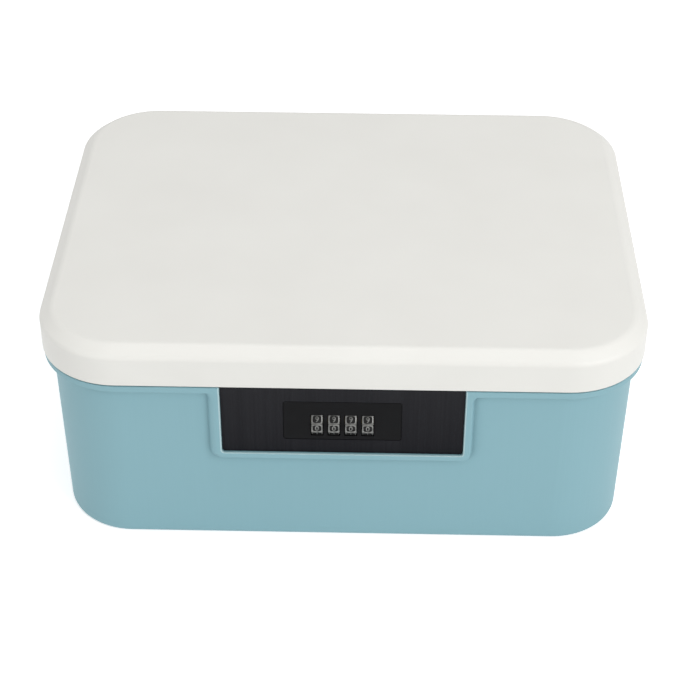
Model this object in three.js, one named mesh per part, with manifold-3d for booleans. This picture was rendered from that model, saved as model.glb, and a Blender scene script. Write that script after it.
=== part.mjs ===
// Lock box for medicines: a tapered bin, a hinged lid, and a number lock with four wheels in the front wall.
// Millimetres. X is right, Y is back, Z is up. The origin is the middle of the underside.

import * as THREE from 'three';
import { mergeVertices } from 'three/addons/utils/BufferGeometryUtils.js';
import Module from 'manifold-3d';

const wasm = await Module();
wasm.setup();

// Clearances and fineness shared by all pieces
const seatGap = 0.3;
const slidingGap = 0.8;
const overrun = 3;
const cornerSteps = 10;
const filletSteps = 4;
const roundSides = 20;
const smallSides = 12;

// Lid, outside
const lidWidth = 300;
const lidDepth = 233.5;
const lidTop = 121.6;
const lidCorner = 40.7;
const chamferRun = 6.2;
const chamferDrop = 4.75;
const chamferSoftness = 1.6;
const skirtHeight = 16.65;
const lidWall = 2.4;
const edgeRound = 0.5;

// Bin, outside and inside
const bandInset = 0.6;
const bandHeight = 4.4;
const bandFilletHeight = 2.8;
const bodySideSetback = 4.25;
const bodyFrontSetback = 3.75;
const bodySideTaper = 2;
const bodyFrontTaper = 1.15;
const bodyTopCorner = 41;
const bodyFootCorner = 36;
const footRound = 2.5;
const binWall = 2.5;
const floorThickness = 3;
const floorFillet = 5;
const upstandHeight = 10;
const upstandWall = 2.2;

// Raised frame round the lock, and the pad behind it
const lockCentre = 0.6;
const frameSideBorder = 4.7;
const frameFootBorder = 4.3;
const frameCorner = 5;
const frameShoulderCorner = 3.5;
const frameRoundWidth = 2.2;
const frameRoundDepth = 1.3;
const frameFillet = 0.8;
const panelHalfWidth = 59.25;
const panelHeight = 41;
const panelDrop = 0.6;
const panelSetback = 1.7;
const panelThickness = 2.2;
const panelCorner = 1.2;
const pocketWall = 2.3;
const padMargin = 2.5;
const padRise = 4.1;

// Insert in the panel
const insertHalfWidth = 28.8;
const insertHeight = 23.3;
const insertDrop = 9.2;
const insertThickness = 0.8;
const insertSetback = 0.1;
const insertCorner = 1.2;

// Number wheels and gate sleeves
const wheelCount = 4;
const wheelWidth = 5.7;
const wheelGap = 2.58;
const wheelRadius = 8;
const wheelDrop = 14.7;
const wheelDepth = 5.55;
const digitCount = 10;
const wheelRimRound = 0.35;
const digitPocketWidth = 3.9;
const digitPocketHeight = 3.7;
const digitPocketDepth = 0.35;
const hubRadius = 2.45;
const spindleRadius = 1;
const spindleCollarRadius = 1.8;
const gateCollarRadius = 4.3;
const gateCollarThickness = 0.9;
const gateFlat = 1.85;
const driveNotchDepth = 0.9;
const driveNotchWidth = 1.2;
const driveLugWidth = 0.6;

// Lock case, cover and code slide
const caseSideRoom = 8.63;
const caseFootRoom = 6.7;
const caseTopRoom = 6.8;
const caseBackRoom = 1.9;
const caseWall = 2;
const cheekThickness = 2;
const cheekMargin = 5.1;
const earReach = 10;
const earThickness = 2;
const coverThickness = 2;
const forkThickness = 1.6;
const forkHalfHeight = 4.2;
const tabHalfHeight = 2.2;
const knobHalfHeight = 3.5;
const knobThickness = 2.5;
const knobLip = 1.5;
const spindleOverhang = 1.63;

// Detent spring
const springThickness = 0.5;
const springFingerWidth = 3.4;
const springHalfWidth = 16.5;
const pedestalHeight = 1.2;
const pedestalDepth = 6.6;
const springRootDepth = 5.2;

// Lid catch
const catchHalfWidth = 18.8;
const catchThickness = 2;
const catchBendRadius = 1.6;
const catchSetback = 10.05;
const catchFlangeDepth = 14;
const catchFlangeDrop = 8.8;
const toothHeight = 2.3;
const toothTip = 2.94;
const toothLift = 0.45;
const catchScrewSpread = 11;

// Screws
const caseScrew = { shank: 1, head: 2.2, headHeight: 1.4, length: 5.6 };
const coverScrew = { shank: 0.9, head: 2, headHeight: 1.3, length: 7 };
const detentScrew = { shank: 0.8, head: 1.7, headHeight: 1.1, length: 2.4 };
const catchScrew = { shank: 1.3, head: 2.8, headHeight: 1.6, length: 6 };
const postRadius = 3;
const caseBossRadius = 2.8;
const catchBossRadius = 4;
const blindEnd = 0.9;

// Hinges
const hingeSpread = 85;
const hingeSetback = 4.75;
const hingeDrop = 6.2;
const knuckleRadius = 4;
const pinRadius = 1.5;
const lidLugWidth = 14;
const binLugWidth = 8;
const lugSideGap = 0.4;
const lugWebRise = 7.5;
const lugWebDrop = 12;
const heelSweep = 0.5;
const lidOpenAngle = THREE.MathUtils.degToRad(100);

// Sizes worked out from those above
const skirtFoot = lidTop - chamferDrop - skirtHeight;
const bandTop = skirtFoot - seatGap;
const bandFoot = bandTop - bandHeight;
const bodyTop = bandFoot - bandFilletHeight;
const bandHalfWidth = lidWidth / 2 - bandInset;
const bandHalfDepth = lidDepth / 2 - bandInset;
const upstandTop = bandTop + upstandHeight;
const upstandHalfWidth = lidWidth / 2 - lidWall - slidingGap;
const upstandHalfDepth = lidDepth / 2 - lidWall - slidingGap;
const panelTop = bandTop - panelDrop;
const panelFoot = panelTop - panelHeight;
const frameHalfWidth = panelHalfWidth + frameSideBorder;
const frameFoot = panelFoot - frameFootBorder;
const padTop = bandTop + padRise;
const panelFace = -bandHalfDepth + panelSetback;
const panelBack = panelFace + panelThickness;
const pocketFloor = panelBack + seatGap;
const padBack = pocketFloor + pocketWall;
const insertFace = panelFace + insertSetback;
const insertBack = insertFace + insertThickness;
const insertSeat = insertBack + seatGap;
const insertTop = panelTop - insertDrop;
const insertFoot = insertTop - insertHeight;
const wheelAxisY = panelFace + wheelDepth;
const wheelAxisZ = insertTop - wheelDrop;
const wheelPitch = wheelWidth + wheelGap;
const codeTravel = wheelGap - gateCollarThickness - 2 * seatGap;
const wheelCentres = Array.from({ length: wheelCount }, (_, i) => (i - (wheelCount - 1) / 2) * wheelPitch);
const stackHalfWidth = wheelCentres[wheelCount - 1] + wheelWidth / 2;
const windowHalfHeight = Math.sqrt(wheelRadius ** 2 - (insertFace - wheelAxisY) ** 2) + 2 * seatGap;
const openingHalfHeight = Math.sqrt(wheelRadius ** 2 - (panelBack - wheelAxisY) ** 2) + 1.5 * seatGap;
const cheekInner = stackHalfWidth + cheekMargin;
const cheekOuter = cheekInner + cheekThickness;
const spindleEnd = cheekOuter + spindleOverhang;
const catchFront = wheelAxisY + catchSetback;
const catchBack = catchFront + catchThickness;
const catchFlangeTop = lidTop - catchFlangeDrop;
const caseHalfWidth = cheekOuter + caseSideRoom;
const caseFoot = wheelAxisZ - wheelRadius - caseFootRoom;
const caseTop = wheelAxisZ + wheelRadius + caseTopRoom;
const caseFront = pocketFloor;
const caseBack = catchBack + caseBackRoom;
const coverFront = caseBack + seatGap;
const coverBack = coverFront + coverThickness;
const forkRight = -cheekOuter - codeTravel - gateCollarThickness - 1.5 * seatGap - seatGap;
const forkLeft = forkRight - forkThickness;
const earFront = padBack + seatGap;
const earBack = earFront + earThickness;
const caseScrewX = caseHalfWidth + earReach / 2;
const caseScrewZs = [caseFoot + caseBossRadius + binWall, caseTop - caseBossRadius - seatGap];
const coverScrewX = caseHalfWidth - caseWall - 0.8 * caseBossRadius;
const coverScrewZs = [caseFoot + caseWall + 0.8 * caseBossRadius, caseTop - caseWall - 0.8 * caseBossRadius];
const springFoot = caseFoot + caseWall + pedestalHeight + seatGap;
const detentScrewY = caseBack - seatGap - springRootDepth / 2;
const toothTop = wheelAxisZ - Math.sqrt(gateCollarRadius ** 2 - toothTip ** 2) - toothLift;
const catchScrewY = catchBack + catchFlangeDepth / 2;
const hingeY = lidDepth / 2 + hingeSetback;
const hingeZ = skirtFoot - hingeDrop;

// Colours of the photographed materials
const blueMoulding = { color: 0x8db4bd, roughness: 0.5, metalness: 0 };
const whiteMoulding = { color: 0xeae9e5, roughness: 0.45, metalness: 0 };
const blackMoulding = { color: 0x2b2b2e, roughness: 0.5, metalness: 0 };
const smoothBlack = { color: 0x232325, roughness: 0.35, metalness: 0 };
const platedMetal = { color: 0xb9bab8, roughness: 0.3, metalness: 0.9 };
const steel = { color: 0x9fa3a6, roughness: 0.35, metalness: 0.95 };
const brass = { color: 0xb59a5a, roughness: 0.35, metalness: 0.9 };

// Turns a closed geometry into a solid that can be joined and cut
function solid(geometry) {
  const bare = geometry.clone();
  bare.deleteAttribute('normal');
  bare.deleteAttribute('uv');
  const merged = mergeVertices(bare);
  const corners = Array.from(merged.index.array);
  const triangles = [];
  for (let i = 0; i < corners.length; i += 3) {
    const [a, b, c] = corners.slice(i, i + 3);
    if (a !== b && b !== c && c !== a) triangles.push(a, b, c);
  }
  const vertProperties = Float32Array.from(merged.attributes.position.array);
  const triVerts = Uint32Array.from(triangles);
  return new wasm.Manifold(new wasm.Mesh({ numProp: 3, vertProperties, triVerts }));
}

// Turns a solid back into a geometry with flat faces
function surface(body) {
  const mesh = body.getMesh();
  const geometry = new THREE.BufferGeometry();
  geometry.setAttribute('position', new THREE.BufferAttribute(Float32Array.from(mesh.vertProperties), 3));
  geometry.setIndex(new THREE.BufferAttribute(Uint32Array.from(mesh.triVerts), 1));
  geometry.computeVertexNormals();
  return geometry;
}

function piece(name, body, finish) {
  const mesh = new THREE.Mesh(surface(body), new THREE.MeshStandardMaterial({ ...finish, flatShading: true }));
  mesh.name = name;
  return mesh;
}

function joined(bodies) {
  return bodies.reduce((whole, body) => whole.add(body));
}

function cut(body, cutters) {
  return cutters.reduce((rest, cutter) => rest.subtract(cutter), body);
}

function block(xRange, yRange, zRange) {
  const size = [xRange, yRange, zRange].map(([low, high]) => high - low);
  const middle = [xRange, yRange, zRange].map(([low, high]) => (low + high) / 2);
  return solid(new THREE.BoxGeometry(...size).translate(...middle));
}

// A round bar between two points
function bar(start, end, radius, sides = roundSides) {
  const from = new THREE.Vector3(...start);
  const along = new THREE.Vector3(...end).sub(from);
  const turn = new THREE.Quaternion().setFromUnitVectors(new THREE.Vector3(0, 1, 0), along.clone().normalize());
  const geometry = new THREE.CylinderGeometry(radius, radius, along.length(), sides);
  return solid(geometry.applyQuaternion(turn).translate(...from.addScaledVector(along, 1 / 2).toArray()));
}

// A shape drawn in X and Z, given thickness from one Y to another
function plate(shape, front, back) {
  const geometry = new THREE.ExtrudeGeometry(shape, { depth: back - front, bevelEnabled: false, curveSegments: smallSides });
  const facing = new THREE.Matrix4().makeBasis(
    new THREE.Vector3(1, 0, 0), new THREE.Vector3(0, 0, 1), new THREE.Vector3(0, -1, 0));
  return solid(geometry.applyMatrix4(facing).translate(0, back, 0));
}

// A shape drawn in Y and Z, given width about a middle X
function across(shape, middle, width) {
  const geometry = new THREE.ExtrudeGeometry(shape, { depth: width, bevelEnabled: false, curveSegments: smallSides });
  const facing = new THREE.Matrix4().makeBasis(
    new THREE.Vector3(0, 1, 0), new THREE.Vector3(0, 0, 1), new THREE.Vector3(1, 0, 0));
  return solid(geometry.applyMatrix4(facing).translate(middle - width / 2, 0, 0));
}

function roundedRectangle(halfWidth, foot, top, radius) {
  const shape = new THREE.Shape();
  shape.absarc(halfWidth - radius, top - radius, radius, 0, Math.PI / 2);
  shape.absarc(-halfWidth + radius, top - radius, radius, Math.PI / 2, Math.PI);
  shape.absarc(-halfWidth + radius, foot + radius, radius, Math.PI, 1.5 * Math.PI);
  shape.absarc(halfWidth - radius, foot + radius, radius, 1.5 * Math.PI, 2 * Math.PI);
  shape.closePath();
  return shape;
}

// A rectangle with round corners at its foot only
function footRounded(halfWidth, foot, top, radius) {
  const shape = new THREE.Shape();
  shape.moveTo(halfWidth, top);
  shape.lineTo(-halfWidth, top);
  shape.absarc(-halfWidth + radius, foot + radius, radius, Math.PI, 1.5 * Math.PI);
  shape.absarc(halfWidth - radius, foot + radius, radius, 1.5 * Math.PI, 2 * Math.PI);
  shape.closePath();
  return shape;
}

function arc(centreU, centreV, radius, from, to, steps) {
  return Array.from({ length: steps + 1 }, (_, i) => {
    const angle = from + (to - from) * i / steps;
    return [centreU + radius * Math.cos(angle), centreV + radius * Math.sin(angle)];
  });
}

// A closed solid through outlines that have the same number of points, each at its own level
function loft(sections) {
  const count = sections[0].outline.length;
  const positions = sections.flatMap(({ outline, level }) => outline.flatMap(([u, v]) => [u, v, level]));
  const index = [];
  for (let layer = 0; layer < sections.length - 1; layer++) {
    for (let i = 0; i < count; i++) {
      const a = layer * count + i;
      const b = layer * count + (i + 1) % count;
      index.push(a, b, b + count, a, b + count, a + count);
    }
  }
  const flat = (section) => section.outline.map(([u, v]) => new THREE.Vector2(u, v));
  const last = (sections.length - 1) * count;
  for (const [a, b, c] of THREE.ShapeUtils.triangulateShape(flat(sections[0]), [])) index.push(c, b, a);
  for (const [a, b, c] of THREE.ShapeUtils.triangulateShape(flat(sections[sections.length - 1]), [])) {
    index.push(last + a, last + b, last + c);
  }
  const geometry = new THREE.BufferGeometry();
  geometry.setAttribute('position', new THREE.Float32BufferAttribute(positions, 3));
  geometry.setIndex(index);
  return geometry;
}

// One level of a shell: a rectangle with round corners
function level(halfWidth, halfDepth, radius, z) {
  const x = halfWidth - radius;
  const y = halfDepth - radius;
  const outline = [[x, y, 0], [-x, y, 1], [-x, -y, 2], [x, -y, 3]].flatMap(([centreX, centreY, quarter]) =>
    arc(centreX, centreY, radius, quarter * Math.PI / 2, (quarter + 1) * Math.PI / 2, cornerSteps));
  return { outline, level: z };
}

function inset(size, amount) {
  return [size[0] - amount, size[1] - amount, size[2] - amount];
}

// Shares of a quarter turn, from its start to its end
function quarterTurn(steps) {
  return Array.from({ length: steps + 1 }, (_, i) => {
    const angle = i / steps * Math.PI / 2;
    return { run: 1 - Math.cos(angle), rise: Math.sin(angle) };
  });
}

// Half width, half depth and corner of the bin's body at a height: it narrows toward the foot
function bodySize(z) {
  const narrowing = 1 - Math.min(z, bodyTop) / bodyTop;
  return [
    lidWidth / 2 - bodySideSetback - bodySideTaper * narrowing,
    lidDepth / 2 - bodyFrontSetback - bodyFrontTaper * narrowing,
    THREE.MathUtils.lerp(bodyTopCorner, bodyFootCorner, narrowing),
  ];
}

function binShell() {
  const band = [bandHalfWidth, bandHalfDepth, lidCorner - bandInset];
  const upstand = [upstandHalfWidth, upstandHalfDepth, lidCorner - lidWall - slidingGap];
  const upstandInside = inset(upstand, upstandWall);
  const outside = [];
  for (const { run, rise } of quarterTurn(filletSteps)) {
    outside.push(level(...inset(bodySize(0), footRound * (1 - rise)), footRound * run));
  }
  const body = bodySize(bodyTop);
  for (const { run, rise } of quarterTurn(filletSteps)) {
    const size = body.map((value, i) => value + (band[i] - edgeRound - value) * run);
    outside.push(level(...size, bodyTop + bandFilletHeight * rise));
  }
  outside.push(level(...band, bandFoot + edgeRound));
  outside.push(level(...band, bandTop - edgeRound));
  outside.push(level(...inset(band, edgeRound), bandTop));
  outside.push(level(...upstand, bandTop));
  outside.push(level(...upstand, upstandTop - edgeRound));
  outside.push(level(...inset(upstand, edgeRound), upstandTop));
  const inside = [level(...inset(upstandInside, -edgeRound), upstandTop)];
  inside.push(level(...upstandInside, upstandTop - edgeRound));
  inside.push(level(...upstandInside, bandFoot));
  inside.push(level(...inset(bodySize(bodyTop), binWall), bodyTop));
  const floorSize = inset(bodySize(floorThickness + floorFillet), binWall);
  for (const { run, rise } of quarterTurn(filletSteps)) {
    inside.push(level(...inset(floorSize, floorFillet * run), floorThickness + floorFillet * (1 - rise)));
  }
  return solid(loft([...outside, ...inside]));
}

// Outline of the raised frame, grown by an offset: round feet corners, hollow shoulder corners at the band
function frameOutline(offset) {
  const half = frameHalfWidth + offset;
  const foot = frameFoot - offset;
  const footCorner = frameCorner + offset;
  const shoulder = Math.max(frameShoulderCorner - offset, edgeRound);
  const shoulderZ = bandFoot - offset - shoulder;
  const top = bandTop - edgeRound;
  const right = [
    ...arc(half - footCorner, foot + footCorner, footCorner, -Math.PI / 2, 0, filletSteps + 1),
    ...arc(half + shoulder, shoulderZ, shoulder, Math.PI, Math.PI / 2, filletSteps + 1),
    [half + shoulder, top],
  ];
  const left = right.map(([u, v]) => [-u, v]).reverse();
  return [...right, ...left];
}

function raisedFrame() {
  const wallY = bodySize(frameFoot)[1] - slidingGap / 4;
  const sideY = bandHalfDepth - frameRoundDepth;
  const faceY = bandHalfDepth - edgeRound / 10;
  const sections = [{ outline: frameOutline(frameFillet), level: pocketFloor * -1 - seatGap }];
  for (const { run, rise } of quarterTurn(filletSteps)) {
    sections.push({ outline: frameOutline(frameFillet * (1 - rise)), level: wallY + (sideY - wallY) * run });
  }
  for (const { run, rise } of quarterTurn(filletSteps - 1).slice(1)) {
    sections.push({ outline: frameOutline(-frameRoundWidth * run), level: sideY + (faceY - sideY) * rise });
  }
  return solid(loft(sections).rotateX(Math.PI / 2)).translate([lockCentre, 0, 0]);
}

// Lock pad: the thick, flat stretch inside the front wall that the lock case is screwed to
function lockPad() {
  const reach = frameHalfWidth + padMargin;
  const y = [pocketFloor - seatGap, padBack];
  return block([lockCentre - reach, lockCentre + reach], y, [frameFoot - padMargin, padTop]);
}

function lockPocket() {
  const reach = panelHalfWidth + seatGap;
  const x = [lockCentre - reach, lockCentre + reach];
  const deepTop = panelTop + seatGap;
  const outline = footRounded(reach, panelFoot - seatGap, deepTop, panelCorner + seatGap);
  return [
    plate(outline, -bandHalfDepth - overrun, pocketFloor).translate([lockCentre, 0, 0]),
    block(x, [-bandHalfDepth - overrun, -upstandHalfDepth - edgeRound / 10], [deepTop - seatGap, bandTop + overrun]),
  ];
}

function caseOpening() {
  const reach = caseHalfWidth + seatGap;
  return block(
    [lockCentre - reach, lockCentre + reach],
    [pocketFloor - overrun, padBack + overrun],
    [caseFoot - seatGap, caseTop + seatGap]);
}

function caseScrewPlaces() {
  return [-caseScrewX, caseScrewX].flatMap((x) => caseScrewZs.map((z) => [x, z]));
}

function knuckle(middle, width, radius) {
  return bar([middle - width / 2, hingeY, hingeZ], [middle + width / 2, hingeY, hingeZ], radius);
}

// Bin lug: a knuckle on a web that runs down the rear wall
function binLug(middle) {
  const root = bodySize(hingeZ)[1] - binWall / 2;
  const web = new THREE.Shape([
    new THREE.Vector2(root, hingeZ + knuckleRadius),
    new THREE.Vector2(root, hingeZ - lugWebDrop),
    new THREE.Vector2(root + binWall, hingeZ - lugWebDrop),
    new THREE.Vector2(hingeY + knuckleRadius * Math.SQRT1_2, hingeZ - knuckleRadius * Math.SQRT1_2),
    new THREE.Vector2(hingeY, hingeZ + knuckleRadius),
  ].reverse());
  return joined([across(web, middle, binLugWidth), knuckle(middle, binLugWidth, knuckleRadius)]);
}

function binLugMiddles() {
  const offset = lidLugWidth / 2 + lugSideGap + binLugWidth / 2;
  return [-hingeSpread, hingeSpread].flatMap((middle) => [middle - offset, middle + offset]);
}

function hingeBores() {
  const length = lidLugWidth + 2 * binLugWidth + 2 * lugSideGap + 2 * overrun;
  return [-hingeSpread, hingeSpread].map((middle) => knuckle(middle, length, pinRadius + seatGap));
}

function binBase() {
  const whole = joined([binShell(), raisedFrame(), lockPad(), ...binLugMiddles().map(binLug)]);
  const posts = caseScrewPlaces().map(([x, z]) =>
    bar([x + lockCentre, pocketFloor - overrun, z], [x + lockCentre, padBack + overrun, z], postRadius + seatGap));
  return cut(whole, [...lockPocket(), caseOpening(), ...posts, ...hingeBores()]);
}

function lidShell() {
  const skirt = [lidWidth / 2, lidDepth / 2, lidCorner];
  const inner = inset(skirt, lidWall);
  const ceiling = lidTop - lidWall;
  const slope = Math.atan2(chamferDrop, chamferRun);
  const along = (amount) => [amount * Math.cos(slope), amount * Math.sin(slope)];
  const [softRun, softRise] = along(chamferSoftness);
  const [halfRun, halfRise] = along(chamferSoftness / 2);
  const chamferFoot = lidTop - chamferDrop;
  const inside = [
    level(...inset(inner, chamferRun), ceiling),
    level(...inner, ceiling - chamferDrop),
    level(...inner, skirtFoot + edgeRound),
    level(...inset(inner, -edgeRound / 2), skirtFoot),
  ];
  const outside = [
    level(...inset(skirt, edgeRound), skirtFoot),
    level(...skirt, skirtFoot + edgeRound),
    level(...skirt, chamferFoot - chamferSoftness),
    level(...inset(skirt, halfRun / 3), chamferFoot - chamferSoftness / 3),
    level(...inset(skirt, (halfRun + softRun) / 2), chamferFoot + (halfRise + softRise) / 2),
    level(...inset(skirt, chamferRun - softRun), lidTop - softRise),
    level(...inset(skirt, chamferRun - halfRun / 4), lidTop - halfRise / 2),
    level(...inset(skirt, chamferRun + chamferSoftness), lidTop),
  ];
  return solid(loft([...inside, ...outside]));
}

// The heel under the lid's knuckle meets the bin's band when the lid is fully open
function lidHeel(middle) {
  const openCorner = new THREE.Vector2(-(hingeY - bandHalfDepth) - edgeRound, bandFoot - hingeZ - edgeRound);
  const lead = openCorner.clone().rotateAround(new THREE.Vector2(), lidOpenAngle);
  const trail = lead.clone().rotateAround(new THREE.Vector2(), heelSweep);
  const pivot = new THREE.Vector2(hingeY, hingeZ);
  const heel = new THREE.Shape([pivot, lead.add(pivot), trail.add(pivot)]);
  return across(heel, middle, lidLugWidth);
}

function lidLug(middle) {
  const skirtInside = lidDepth / 2 - lidWall / 2;
  const web = new THREE.Shape([
    new THREE.Vector2(skirtInside, skirtFoot + lugWebRise),
    new THREE.Vector2(skirtInside, skirtFoot + edgeRound),
    new THREE.Vector2(bandHalfDepth + 1.2 * seatGap, skirtFoot + edgeRound),
    new THREE.Vector2(hingeY - knuckleRadius, hingeZ),
    new THREE.Vector2(hingeY + knuckleRadius * Math.SQRT1_2, hingeZ + knuckleRadius * Math.SQRT1_2),
    new THREE.Vector2(lidDepth / 2 + edgeRound, skirtFoot + lugWebRise),
  ]);
  return joined([across(web, middle, lidLugWidth), knuckle(middle, lidLugWidth, knuckleRadius), lidHeel(middle)]);
}

function catchScrewPlaces() {
  return [-catchScrewSpread, catchScrewSpread].map((x) => x + lockCentre);
}

function lid() {
  const bosses = catchScrewPlaces().map((x) =>
    bar([x, catchScrewY, lidTop - lidWall / 2], [x, catchScrewY, catchFlangeTop + seatGap], catchBossRadius));
  const pilots = catchScrewPlaces().map((x) => {
    const depth = catchScrew.length - catchThickness;
    const end = [x, catchScrewY, catchFlangeTop + depth];
    return bar([x, catchScrewY, catchFlangeTop - overrun], end, catchScrew.shank + seatGap, smallSides);
  });
  const whole = joined([lidShell(), ...bosses, lidLug(-hingeSpread), lidLug(hingeSpread)]);
  return cut(whole, [...pilots, ...hingeBores()]);
}

// Black panel with four posts that the case screws pull back against the wall
function lockPanel() {
  const outline = footRounded(panelHalfWidth, panelFoot, panelTop, panelCorner);
  const face = plate(outline, panelFace, panelBack);
  const recess = plate(
    roundedRectangle(insertHalfWidth + seatGap, insertFoot - seatGap, insertTop + seatGap, insertCorner + seatGap),
    panelFace - overrun, insertSeat);
  const openingReach = stackHalfWidth + wheelGap + seatGap;
  const opening = block(
    [-openingReach, openingReach],
    [panelFace - overrun, panelBack + overrun],
    [wheelAxisZ - openingHalfHeight, wheelAxisZ + openingHalfHeight]);
  const posts = caseScrewPlaces().map(([x, z]) => bar([x, panelBack - insertThickness, z], [x, padBack, z], postRadius));
  const pilots = caseScrewPlaces().map(([x, z]) =>
    bar([x, panelFace + blindEnd, z], [x, padBack + overrun, z], caseScrew.shank + seatGap, smallSides));
  return cut(joined([face, ...posts]), [recess, opening, ...pilots]);
}

function lockInsert() {
  const whole = plate(roundedRectangle(insertHalfWidth, insertFoot, insertTop, insertCorner), insertFace, insertBack);
  const reach = wheelWidth / 2 + seatGap;
  const windows = wheelCentres.map((x) => block(
    [x - reach, x + reach],
    [insertFace - overrun, insertBack + overrun],
    [wheelAxisZ - windowHalfHeight, wheelAxisZ + windowHalfHeight]));
  return cut(whole, windows);
}

// Number wheel about its own axis: ten flats, a pocket for the number in each, and drive notches in one side
function numberWheel() {
  const rimRadius = wheelRadius - wheelRimRound;
  const half = wheelWidth / 2;
  const ring = (radius, x) => {
    const outline = Array.from({ length: digitCount }, (_, i) => {
      const angle = (i + 1 / 2) / digitCount * 2 * Math.PI;
      return [radius * Math.cos(angle), radius * Math.sin(angle)];
    });
    return { outline, level: x };
  };
  const rings = [
    ring(rimRadius, -half), ring(wheelRadius, -half + wheelRimRound),
    ring(wheelRadius, half - wheelRimRound), ring(rimRadius, half),
  ];
  const turned = solid(loft(rings).rotateY(Math.PI / 2));
  const flat = wheelRadius * Math.cos(Math.PI / digitCount);
  const pocket = block(
    [-digitPocketWidth / 2, digitPocketWidth / 2],
    [-flat - overrun, -flat + digitPocketDepth],
    [-digitPocketHeight / 2, digitPocketHeight / 2]);
  const notch = block(
    [half - driveNotchDepth, half + overrun],
    [-gateCollarRadius, -hubRadius],
    [-driveNotchWidth / 2, driveNotchWidth / 2]);
  const turns = Array.from({ length: digitCount }, (_, i) => i * 360 / digitCount);
  const cutters = turns.flatMap((degrees) => [pocket.rotate([degrees, 0, 0]), notch.rotate([degrees, 0, 0])]);
  const bore = bar([-half - overrun, 0, 0], [half + overrun, 0, 0], hubRadius + seatGap);
  return cut(turned, [bore, ...cutters]);
}

// Gate sleeve about its wheel's middle: a hub through the wheel, a collar beside it, a drive lug and a gate flat
function gateSleeve() {
  const half = wheelWidth / 2;
  const collarStart = half + seatGap;
  const collarEnd = collarStart + gateCollarThickness;
  const tailStart = collarEnd + seatGap - wheelPitch;
  const hub = bar([tailStart, 0, 0], [collarEnd, 0, 0], hubRadius);
  const collar = bar([collarStart, 0, 0], [collarEnd, 0, 0], gateCollarRadius);
  const lug = block(
    [half - driveNotchDepth + seatGap, collarStart + gateCollarThickness / 2],
    [-gateCollarRadius + seatGap, -hubRadius + seatGap],
    [-driveLugWidth / 2, driveLugWidth / 2]);
  const side = [gateFlat, gateFlat + gateCollarRadius];
  const collarFlat = block([collarStart - seatGap / 2, collarEnd + overrun], side, [-gateCollarRadius, gateCollarRadius]);
  const tailFlat = block([tailStart - overrun, -half], side, [-gateCollarRadius, gateCollarRadius]);
  const bore = bar([tailStart - overrun, 0, 0], [collarEnd + overrun, 0, 0], spindleRadius + seatGap, smallSides);
  return cut(joined([hub, collar, lug]), [collarFlat, tailFlat, bore]);
}

// Spindle with collars that hold the stack of sleeves and the fork between them
function spindle() {
  const stackLeft = wheelCentres[0] + wheelWidth / 2 + seatGap + gateCollarThickness + seatGap - wheelPitch;
  const stackRight = stackHalfWidth + seatGap + gateCollarThickness;
  const collarAt = (x) => bar([x, wheelAxisY, wheelAxisZ], [x + gateCollarThickness, wheelAxisY, wheelAxisZ],
    spindleCollarRadius, smallSides);
  const left = forkLeft - seatGap - gateCollarThickness;
  return joined([
    bar([left, wheelAxisY, wheelAxisZ], [spindleEnd, wheelAxisY, wheelAxisZ], spindleRadius, smallSides),
    collarAt(left),
    collarAt(forkRight + seatGap),
    collarAt(stackLeft - seatGap - gateCollarThickness),
    collarAt(stackRight + seatGap),
  ]);
}

function codeSlide() {
  const front = wheelAxisY - spindleCollarRadius;
  const back = coverFront - seatGap;
  const x = [forkLeft, forkRight];
  const around = (half) => [wheelAxisZ - half, wheelAxisZ + half];
  const fork = block(x, [front, back], around(forkHalfHeight));
  const tab = block(x, [back - overrun, coverBack + knobThickness], around(tabHalfHeight));
  const knob = block(
    [forkLeft - knobLip, forkRight + knobLip],
    [coverBack + seatGap, coverBack + seatGap + knobThickness],
    around(knobHalfHeight));
  const middle = (forkLeft + forkRight) / 2;
  const reach = forkThickness / 2 + overrun;
  const grip = bar([middle - reach, wheelAxisY, wheelAxisZ], [middle + reach, wheelAxisY, wheelAxisZ],
    spindleRadius + seatGap, smallSides);
  const mouth = block([middle - reach, middle + reach], [front - overrun, wheelAxisY], around(spindleRadius + seatGap));
  return cut(joined([fork, tab, knob]), [grip, mouth]);
}

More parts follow.
